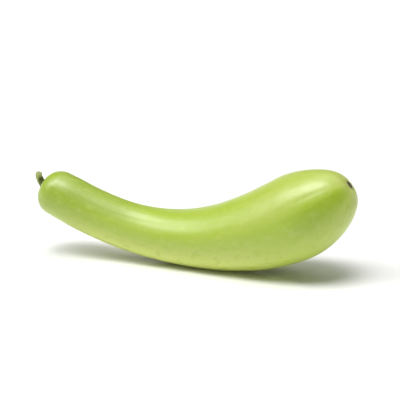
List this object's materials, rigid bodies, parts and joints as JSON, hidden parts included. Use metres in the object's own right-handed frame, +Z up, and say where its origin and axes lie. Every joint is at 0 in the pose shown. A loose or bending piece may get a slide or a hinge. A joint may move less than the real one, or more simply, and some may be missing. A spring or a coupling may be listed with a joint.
{
  "type": "bottle gourd",
  "caption": "Long, gently curved bottle gourd with a slim neck, a full blossom end, a short ribbed stem and a corky scar, lying on its belly.",
  "frame": {"origin": "on the flat rest spot under the belly, below the weight of the fruit", "axes": "+X along the fruit from the stem end to the blossom end, +Z up, the curved middle line in the XZ plane"},
  "size_m": [0.3557, 0.0878, 0.1141],
  "materials": {
    "gourd_skin": "waxy semi-gloss yellow-green skin with pale flecks and soft lengthwise streaks",
    "gourd_stem": "matt, ribbed, olive green drying to brown",
    "gourd_cork": "matt dark brown cork"
  },
  "bodies": {
    "root": {"fruit": "gourd_skin", "stem": "gourd_stem", "blossom_scar": "gourd_cork"}
  },
  "joints": []
}
